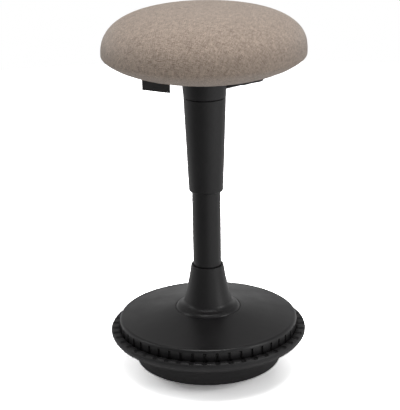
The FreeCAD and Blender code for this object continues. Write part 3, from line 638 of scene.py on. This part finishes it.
def hold_form(points, share, nap):
    """Draws each point part of the way to the moulded outline, at its own angle in its upright plane."""
    outline = seat_profile(-nap, FORM_STEPS)
    radius, turn = to_polar(points)
    z = points[:, 2]
    held_r = radius + share * (look_up(points, outline, outline[:, 0]) - radius)
    held_z = z + share * (look_up(points, outline, outline[:, 1]) - z)
    return np.stack([held_r * np.cos(turn), held_r * np.sin(turn), held_z], 1)


def cloth_map(points, cloth_turn):
    """Where each point lay on the flat round of cloth: its distance is the length of the outline from the
    crown's pole, and its direction is its own less the cloth's turn."""
    outline = seat_profile(0.0, FORM_STEPS)
    length = np.concatenate([[0], np.cumsum(np.linalg.norm(np.diff(outline, axis=0), axis=1))])
    distance = look_up(points, outline, length)
    turn = to_polar(points)[1] - cloth_turn
    return distance * np.cos(turn), distance * np.sin(turn)


def pucker(turn, count):
    """Uneven gathers round the edge: a cosine whose phase is pushed about by slower ones."""
    phase = count * turn + 1.9 * np.sin(5 * turn + 0.7) + 1.3 * np.sin(9 * turn + 2.1)
    return np.cos(phase) * (0.7 + 0.3 * np.sin(7 * turn + 1.1))


class WOBBLESTOOL_OT_cushion(Operator):
    """Make the round woven cushion from a swollen superellipse form"""
    bl_idname = "wobblestool.cushion"
    bl_label = "Cushion"

    def execute(self, context):
        seat = context.scene.wobble_seat
        profile, angles = seat_profile(seat.swell, 40), full_turn(160)
        points = turned(profile, angles)
        piece = new_piece("seat_cushion", points, grid_faces(len(profile), len(angles), False))
        close_poles(piece)
        add_modifier(piece, "REMESH", mode="VOXEL", voxel_size=seat.voxel)
        apply_modifiers(piece)
        puff(piece, seat)
        add_modifier(piece, "SUBSURF", levels=1, render_levels=1)
        apply_modifiers(piece)
        set_points(piece.data, self.shaped(mesh_points(piece.data), seat))
        piece.data.shade_smooth()
        write_uv(piece, *cloth_map(mesh_points(piece.data), seat.cloth_turn))
        cloth = heathered_cloth("seat_fabric_cloth", seat.yarn, tuple(seat.dark_yarn), tuple(seat.light_yarn))
        piece.data.materials.append(cloth)
        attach(piece, "seat")
        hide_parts("seat_cover", "seat_foam")
        return {"FINISHED"}

    def shaped(self, points, seat):
        """Holds the form, leans it, gathers its cloth at the board's edge and sinks the board's recess."""
        points = hold_form(points, seat.form_hold, seat.nap)
        points[:, 0] += seat.lean * smooth_step(np.abs(points[:, 2] - SEAT_WAIST), 0, LEAN_RISE)
        radius, turn = to_polar(points)
        gathered = smooth_step(SEAT_WAIST - points[:, 2], *PUCKER_DROP) * smooth_step(radius, *PUCKER_R)
        shrink = 1 + gathered * PUCKER_DEPTH * pucker(turn, seat.puckers) / np.maximum(radius, MM)
        points[:, :2] *= shrink[:, None]
        recess = BOARD_HIGH.z + BOARD_GAP
        inside = (radius < BOARD_R + BOARD_GAP) & (points[:, 2] < recess)
        points[:, 2] = np.where(inside, recess, np.maximum(points[:, 2], SEAT_FLOOR + BELLY_LIFT))
        return points


class WOBBLESTOOL_OT_underside(Operator):
    """Make the gathered hem folded under the board and the black dust cloth over it"""
    bl_idname = "wobblestool.underside"
    bl_label = "Underside Cloth"

    def execute(self, context):
        seat = context.scene.wobble_seat
        angles = full_turn(720)
        self.make_hem(seat, angles)
        self.make_dust_cloth(angles)
        return {"FINISHED"}

    def make_hem(self, seat, angles):
        """Height of the hem: flat under the board, with gathers that deepen towards its inner edge."""
        radius = np.linspace(HEM_OUTER_R, HEM_INNER_R, 24)[:, None] + 0 * angles
        inwards = smooth_step(radius, HEM_OUTER_R, HEM_INNER_R)
        z = SEAT_FLOOR + HEM_MIDDLE + inwards * HEM_DEPTH * pucker(angles, seat.puckers)
        radius = radius + inwards * HEM_WAVE * pucker(angles, 17)
        points = np.stack([radius * np.cos(angles), radius * np.sin(angles), z], -1)
        piece = new_piece("cover_hem", points, grid_faces(*radius.shape, False))
        add_modifier(piece, "SOLIDIFY", thickness=HEM_THICK, offset=0.0)
        flat = points.reshape(-1, 3)
        stretched = 1 + (HEM_LAY_R - HEM_OUTER_R) / np.maximum(to_polar(flat)[0], MM)
        write_uv(piece, flat[:, 0] * stretched, flat[:, 1] * stretched)
        piece.data.materials.append(bpy.data.materials["seat_fabric_cloth"])
        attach(piece, "seat")

    def make_dust_cloth(self, angles):
        """Height of the dust cloth: level under the board, a smooth step down over the hem's edge, and
        ripples that grow towards its cut edge."""
        low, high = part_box("dust_cover")
        edge = high.x
        radius = np.concatenate([[0.05 * MM], np.linspace(2 * MM, edge, 60)])[:, None] + 0 * angles
        top, foot = high.z - DUST_INSET, low.z + DUST_INSET
        ripple = smooth_step(radius, DUST_RIPPLE_R, edge) * DUST_RIPPLE * pucker(angles, 29)
        z = top + (foot - top) * smooth_step(radius, *DUST_STEP) + ripple
        radius = radius + smooth_step(radius, DUST_WAVE_R, edge) * DUST_WAVE * (pucker(angles, 11) - 1)
        points = np.stack([radius * np.cos(angles), radius * np.sin(angles), z], -1)
        piece = new_piece("dust_cloth", points, grid_faces(*radius.shape, False))
        add_modifier(piece, "SOLIDIFY", thickness=DUST_THICK, offset=0.0)
        piece.data.materials.append(nonwoven("dust_cloth_black"))
        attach(piece, "seat")
        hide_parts("dust_cover")


class WOBBLESTOOL_OT_label(Operator):
    """Make the blank woven tab: a tape folded double, with its ends sewn into the seat's edge"""
    bl_idname = "wobblestool.label"
    bl_label = "Label"

    def execute(self, context):
        seat = context.scene.wobble_seat
        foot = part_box("label_tab")[0].z + LABEL_FOLD_R + LABEL_CLEAR
        width = seat.label_width
        across = np.linspace(-width / 2, width / 2, 57)
        face = np.array([math.cos(seat.label_facing), math.sin(seat.label_facing)])
        along = np.array([-face[1], face[0]])
        place = LABEL_R * np.array([math.cos(seat.label_turn), math.sin(seat.label_turn)])
        seam = underside(np.linalg.norm(place + across[:, None] * along, axis=1)) + LABEL_SEAM
        # The tape runs straight down from the seam, half round the fold and back up. It bows by a sine
        # across its width, times the square of the share of its drop.
        hang = np.linspace(0, 1, 24)
        turn = np.linspace(0, math.pi, 9)[1:-1]
        out = LABEL_FOLD_R * np.concatenate([0 * hang + 1, np.cos(turn), 0 * hang - 1])[:, None]
        down = np.concatenate([hang, 0 * turn + 1, hang[::-1]])[:, None]
        dip = LABEL_FOLD_R * np.concatenate([0 * hang, np.sin(turn), 0 * hang])[:, None]
        bow = LABEL_BOW * np.sin(across / width * math.pi * 1.6 + 0.4) * down ** 2
        x = place[0] + (out + bow) * face[0] + across * along[0]
        y = place[1] + (out + bow) * face[1] + across * along[1]
        z = seam - down * (seam - foot) - dip
        points = np.stack([x, y, z], -1)
        piece = new_piece("woven_label", points, grid_faces(*x.shape, False, closed_columns=False))
        add_modifier(piece, "SOLIDIFY", thickness=LABEL_THICK, offset=0.0)
        tape = np.linalg.norm(np.diff(points, axis=0), axis=2)
        length = np.concatenate([0 * tape[:1], np.cumsum(tape, axis=0)])
        write_uv(piece, (across + 0 * down).ravel(), length.ravel())
        piece.data.materials.append(label_tape("label_tape_black"))
        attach(piece, "seat")
        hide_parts("label_tab")
        return {"FINISHED"}


def cut_angles(width, radius):
    """Angles round the base: close together at both edges of each cut, wider between them."""
    pitch = 2 * math.pi / CUTS
    half, blur = width / 2 / radius, CUT_BLUR / radius
    inside = np.linspace(-half + blur, half - blur, 5)[1:-1]
    edge = np.linspace(half - blur, half + blur, 6)
    between = np.linspace(half + blur, pitch - half - blur, 8)[1:-1]
    one = CUT_PHASE + np.concatenate([-edge[::-1], inside, edge, between])
    return np.sort((one[None, :] + pitch * np.arange(CUTS)[:, None]).ravel())


def off_cut(angles):
    """Angle from the middle of the nearest cut."""
    pitch = 2 * math.pi / CUTS
    return np.abs((angles - CUT_PHASE + pitch / 2) % pitch - pitch / 2)


class WOBBLESTOOL_OT_base_cover(Operator):
    """Make the domed cover with its slotted skirt"""
    bl_idname = "wobblestool.base_cover"
    bl_label = "Base Cover"

    def execute(self, context):
        base = context.scene.wobble_base
        profile = path((SHELF_R, SHELF_Z), ((COVER_HOLE_R, SHELF_Z), 3), ((COVER_HOLE_R, 113.4), 3),
                       ((58.5, 113.95), (59.4, 114.15), 6), ((104.0, 106.4), (153.6, 98.6), 16),
                       ((157.8, 96.8), (COVER_EDGE_R, COVER_EDGE_Z), 12), ((SKIRT_FOOT_R, FOOT_Z), 28),
                       ((SKIRT_FOOT_R - COVER_WALL, FOOT_Z), 3), ((COVER_EDGE_R - COVER_WALL, 91.7), 6),
                       ((155.2, 94.6), (152.8, 95.7), 4), ((104.0, 103.4), (64.0, 110.4), 8),
                       ((61.3, SHELF_FOOT_Z), 2), ((SHELF_R, SHELF_FOOT_Z), 3), ((SHELF_R, 109.2), 2))
        # The outer face is the turned profile, less the slots' depth within half a slot's width of a cut.
        # A slot is at its full depth a little below its top, and widens towards its foot.
        slot, slot_foot, depth = base.slot_width / MM, base.slot_foot_width / MM, base.slot_depth / MM
        angles = cut_angles(slot, COVER_EDGE_R)
        points = turned(profile, angles)
        radius, z = to_polar(points)[0], points[..., 2]
        half = (slot + smooth_step(z, *SLOT_FLARE) * (slot_foot - slot)) / 2
        across = smooth_step(off_cut(angles) * radius, half + SLOT_SOFT, half - SLOT_SOFT)
        outside = radius > SKIRT_FOOT_R - SKIRT_SKIN
        sunk = outside * smooth_step(z, *SLOT_TOP) * across * depth
        points[..., :2] *= (1 - sunk / radius)[..., None]
        piece = new_piece("domed_cover", points * MM, grid_faces(*radius.shape, True), sharp_degrees=50.0)
        piece.data.materials.append(moulded("cover_plastic_black", base.plastic, 0.36, 0.35 * MM, 0.03 * MM))
        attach(piece, "root")
        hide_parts("base_cover")
        return {"FINISHED"}


class WOBBLESTOOL_OT_bumper_ring(Operator):
    """Make the rolled rubber ring with its radial grooves"""
    bl_idname = "wobblestool.bumper_ring"
    bl_label = "Bumper Ring"

    def execute(self, context):
        base = context.scene.wobble_base
        profile = path((RING_INNER_R, FOOT_Z), ((RING_FOOT_R, FOOT_Z), 4), ((169.3, 62.9), (171.3, 65.4), 6),
                       ((174.6, 70.5), RING_TIP, 14), ((173.2, 78.8), RING_CREST, 14),
                       ((163.0, 78.8), (RING_INNER_R, 77.0), 12), ((RING_INNER_R, 63.0), 6))
        # The surface is the turned profile, lowered to the sloping groove floor within half a groove's
        # width of a cut.
        groove = base.groove_width / MM
        angles = cut_angles(groove, RING_FOOT_R)
        points = turned(profile, angles)
        radius = to_polar(points)[0]
        floor = GROOVE_FLOOR_Z + (radius - RING_INNER_R) * GROOVE_RISE
        cut = smooth_step(off_cut(angles) * radius, groove / 2 + GROOVE_SOFT, groove / 2 - GROOVE_SOFT)
        points[..., 2] -= cut * np.maximum(points[..., 2] - floor, 0)
        piece = new_piece("grooved_ring", points * MM, grid_faces(*radius.shape, True), sharp_degrees=60.0)
        piece.data.materials.append(moulded("ring_rubber_black", base.plastic, 0.5, 0.6 * MM, 0.05 * MM,
                                            edge=0.8 * MM))
        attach(piece, "root")
        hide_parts("bumper_ring")
        return {"FINISHED"}


def finishes(level):
    """The finish of each material slot of the record, for the CAD nodes that show as they are."""
    steel = (0.56, 0.57, 0.58)
    brass = (0.72, 0.55, 0.27)
    return {
        "sole_rubber": moulded("sole_rubber_black", level, 0.6, 0.9 * MM, 0.12 * MM),
        "gasket_rubber": moulded("gasket_rubber_black", level * 0.5, 0.6, 0.4 * MM, 0.04 * MM),
        "bowl_plastic": moulded("bowl_plastic_black", level, 0.5, 0.4 * MM, 0.05 * MM),
        "cover_plastic": bpy.data.materials["cover_plastic_black"],
        "sleeve_plastic": moulded("sleeve_plastic_black", level, 0.36, 0.35 * MM, 0.03 * MM),
        "grip_plastic": moulded("grip_plastic_black", level, 0.45, 0.5 * MM, 0.05 * MM),
        "bush_plastic": moulded("bush_acetal", 0.75, 0.4, 0.5 * MM, 0.03 * MM, wear=0.1,
                                tint=(1.0, 0.99, 0.93)),
        "tube_paint": moulded("tube_powder_coat", level, 0.34, 1.1 * MM, 0.05 * MM),
        "black_steel": moulded("black_steel_paint", level * 1.2, 0.4, 0.8 * MM, 0.04 * MM, wear=0.8),
        "bare_steel": brushed("zinc_plate", steel, 0.35),
        "screw_steel": brushed("dark_zinc", (0.2, 0.2, 0.21), 0.38, (1, 1, 2)),
        "polished_steel": brushed("ball_steel", (0.7, 0.7, 0.72), 0.1, (1, 1, 1)),
        "rod_chrome": brushed("hard_chrome", (0.74, 0.75, 0.77), 0.09, (1, 1, 30)),
        "piston_alloy": brushed("turned_alloy", (0.72, 0.72, 0.74), 0.28, (30, 30, 1)),
        "cage_brass": brushed("pressed_brass", brass, 0.32, (1, 1, 3)),
        "valve_brass": brushed("turned_brass", brass, 0.25, (30, 30, 1)),
        "cast_weight": cast_iron("cast_weight_iron"),
        "plywood": birch_plywood("birch_plywood"),
    }


class WOBBLESTOOL_OT_finishes(Operator):
    """Give every carried CAD node the finish of its material slot"""
    bl_idname = "wobblestool.finishes"
    bl_label = "Finishes"

    def execute(self, context):
        made = finishes(context.scene.wobble_base.plastic)
        slots = {part["node"]: part["material_slot"] for part in frame["record"]["subparts"]}
        for name, node in frame["nodes"].items():
            if slots[name] in made:
                for holder in node.material_slots:
                    holder.material = made[slots[name]]
        return {"FINISHED"}


def area_lamp(name, place, target, size, power):
    data = bpy.data.lights.new(name, "AREA")
    data.shape = "RECTANGLE"
    data.size, data.size_y = size
    data.energy = power
    lamp = bpy.data.objects.new(name, data)
    lamp.location = place
    lamp.rotation_euler = (Vector(target) - lamp.location).to_track_quat("-Z", "Y").to_euler()
    bpy.context.scene.collection.objects.link(lamp)


class WOBBLESTOOL_OT_stage(Operator):
    """Make the white floor, the surroundings, the lamps and the camera"""
    bl_idname = "wobblestool.stage"
    bl_label = "Stage"

    def execute(self, context):
        stage = context.scene.wobble_stage
        self.make_floor(stage)
        self.make_world(stage)
        area_lamp("top_softbox", *TOP_LAMP, stage.top_power)
        area_lamp("right_softbox", *RIGHT_LAMP, stage.right_power)
        area_lamp("left_softbox", *LEFT_LAMP, stage.left_power)
        self.make_camera(stage)
        context.scene.view_settings.view_transform = "Standard"
        return {"FINISHED"}

    def bright_side_level(self, nodes, direction, bright_side_turn, dark, light):
        """Dark towards the front left and light from the bright side on, by the cosine to the bright side."""
        side = (math.sin(bright_side_turn), -math.cos(bright_side_turn), 0.0)
        cosine = nodes.vector_math("DOT_PRODUCT", direction, side)
        return nodes.remap(cosine, -1.0, BRIGHT_SIDE_EDGE, dark, light, "SMOOTHSTEP")

    def make_floor(self, stage):
        """Round floor of rings. The camera sees it as over-exposed white with a shadow, cast by the lamps and
        narrowed by painted light away from the shadow's core. The stool's gloss sees a painted reflection:
        the floor's colour in glossy rays is dark at the front left, light at the right and lighter still
        under the stool."""
        radius = np.array(FLOOR_RINGS)
        angles = full_turn(96)
        points = turned(np.stack([radius, 0 * radius], 1), angles)
        floor = new_piece("floor", points, grid_faces(len(radius), len(angles), False))
        close_poles(floor)
        finish = Finish("floor_white", Roughness=0.9, Specular_IOR_Level=0.0)
        away = finish.vector_math("NORMALIZE", finish.place, output="Vector")
        # Painted reflection: the floor's colour in glossy rays, set by direction and by nearness to the stool
        painted_reflection = self.bright_side_level(finish, away, stage.bright_side_turn, stage.dark_painted_reflection, stage.light_painted_reflection)
        far = finish.vector_math("LENGTH", finish.place)
        painted_reflection = finish.blend(finish.remap(far, *NEAR_REFLECTION_EDGE), stage.near_painted_reflection, painted_reflection)
        # Painted shadow: the floor's colour for the camera rises from the floor gain near the shadow's core
        # to gain times fade at its edge
        from_core = finish.vector_math("DISTANCE", finish.place, SHADOW_CORE)
        floor_white_with_painted_shadow = finish.remap(from_core, *SHADOW_EDGE, stage.floor_gain, stage.floor_gain * stage.painted_shadow_fade)
        rays = finish.add("ShaderNodeLightPath").outputs
        level = finish.blend(rays["Is Glossy Ray"], FLOOR_WHITE, painted_reflection)
        level = finish.blend(rays["Is Camera Ray"], level, floor_white_with_painted_shadow)
        lift = finish.math("MULTIPLY", rays["Is Camera Ray"], stage.floor_lift)
        finish.put(finish.shader.inputs["Emission Color"], grey(1.0))
        floor.data.materials.append(finish.output(Base_Color=level, Emission_Strength=lift))

    def make_world(self, stage):
        """White where the camera looks, an even sky for soft light, and for reflections a sky that darkens
        upwards from the horizon and towards the front left."""
        world = bpy.data.worlds.new("studio")
        bpy.context.scene.world = world
        world.use_nodes = True
        sky = Nodes(world.node_tree)
        way = sky.add("ShaderNodeTexCoord").outputs["Generated"]
        rise = sky.remap(sky.parts(way)[2], 0.0, HIGH_SKY_Z, stage.low_sky, stage.high_sky)
        shade = self.bright_side_level(sky, way, stage.bright_side_turn, stage.dark_sky, 1.0)
        rays = sky.add("ShaderNodeLightPath").outputs
        strength = sky.blend(rays["Is Glossy Ray"], stage.soft_sky, sky.math("MULTIPLY", rise, shade))
        strength = sky.blend(rays["Is Camera Ray"], strength, 1.0)
        background = world.node_tree.nodes["Background"]
        background.inputs["Color"].default_value = grey(1.0)
        sky.put(background.inputs["Strength"], strength)

    def make_camera(self, stage):
        """Camera from its fitted pose: it looks along +Y, pitched down and leaning a little."""
        data = bpy.data.cameras.new("camera")
        data.sensor_width = SENSOR
        data.lens = stage.focal_pixels * SENSOR / PICTURE_HEIGHT
        data.shift_x = (PICTURE_WIDTH / 2 - stage.middle_column) / PICTURE_HEIGHT
        data.shift_y = (stage.middle_row - PICTURE_HEIGHT / 2) / PICTURE_HEIGHT
        camera = bpy.data.objects.new("camera", data)
        turn = Matrix.Rotation(math.pi / 2 - stage.pitch, 4, "X") @ Matrix.Rotation(stage.roll, 4, "Z")
        camera.matrix_world = Matrix.Translation(stage.eye) @ turn
        bpy.context.scene.collection.objects.link(camera)
        bpy.context.scene.camera = camera


class WOBBLESTOOL_PT_panel(Panel):
    """Steps that dress the stool, in order"""
    bl_idname = "WOBBLESTOOL_PT_panel"
    bl_label = "Wobble Stool"
    bl_space_type = "VIEW_3D"
    bl_region_type = "UI"
    bl_category = "Wobble Stool"

    def draw(self, context):
        for step in STEPS:
            self.layout.operator(step.bl_idname)
        for name in SETTINGS:
            group = getattr(context.scene, name)
            for key in group.bl_rna.properties.keys():
                if key not in ("rna_type", "name"):
                    self.layout.prop(group, key)


STEPS = (WOBBLESTOOL_OT_stage, WOBBLESTOOL_OT_cushion, WOBBLESTOOL_OT_underside, WOBBLESTOOL_OT_label,
         WOBBLESTOOL_OT_base_cover, WOBBLESTOOL_OT_bumper_ring, WOBBLESTOOL_OT_finishes)
SETTINGS = {"wobble_seat": WobbleSeatSettings, "wobble_base": WobbleBaseSettings,
            "wobble_stage": WobbleStageSettings}


def register():
    for group in SETTINGS.values():
        bpy.utils.register_class(group)
    for step in STEPS + (WOBBLESTOOL_PT_panel,):
        bpy.utils.register_class(step)
    for name, group in SETTINGS.items():
        setattr(bpy.types.Scene, name, PointerProperty(type=group))


def unregister():
    for name in SETTINGS:
        delattr(bpy.types.Scene, name)
    for step in (WOBBLESTOOL_PT_panel,) + STEPS:
        bpy.utils.unregister_class(step)
    for group in SETTINGS.values():
        bpy.utils.unregister_class(group)


def main():
    register()
    bpy.ops.wobblestool.stage()
    bpy.ops.wobblestool.cushion()
    bpy.ops.wobblestool.underside()
    bpy.ops.wobblestool.label()
    bpy.ops.wobblestool.base_cover()
    bpy.ops.wobblestool.bumper_ring()
    bpy.ops.wobblestool.finishes()


if __name__ == "__main__":
    main()
